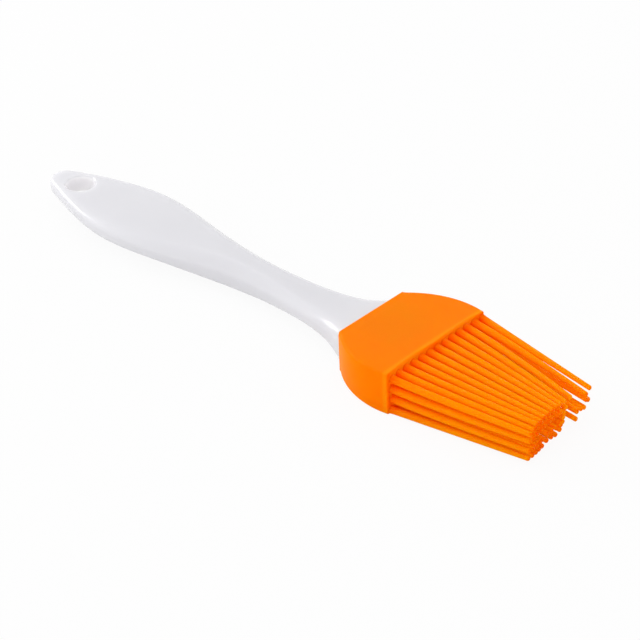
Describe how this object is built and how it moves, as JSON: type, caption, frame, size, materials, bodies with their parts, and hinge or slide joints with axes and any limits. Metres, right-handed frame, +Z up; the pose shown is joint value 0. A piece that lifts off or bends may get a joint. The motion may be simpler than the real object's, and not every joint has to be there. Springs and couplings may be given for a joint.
{
  "type": "pastry brush",
  "caption": "Pastry brush: flat leaf-shaped plastic handle with a hanging hole, and a pull-off silicone head with rows of tapered bristles.",
  "frame": {"origin": "under the middle of the brush's bounding box, on the plane of the head's flat underside", "axes": "+Z up out of the brush's broad face, +X lengthwise from the hanging hole to the bristle tips, +Y across the head"},
  "size_m": [0.1835, 0.0382, 0.0124],
  "materials": {
    "handle_plastic": "gloss",
    "silicone": "satin"
  },
  "bodies": {
    "handle": {"handle": "handle_plastic"},
    "head": {"head_sleeve": "silicone", "bristle_row_top": "silicone", "bristle_row_upper": "silicone", "bristle_row_lower": "silicone", "bristle_row_bottom": "silicone"}
  },
  "joints": [
    {"name": "head_pull_off", "type": "slide", "parent": "handle", "child": "head", "axis": [1, 0, 0], "range_m": [0, 0.022]}
  ]
}
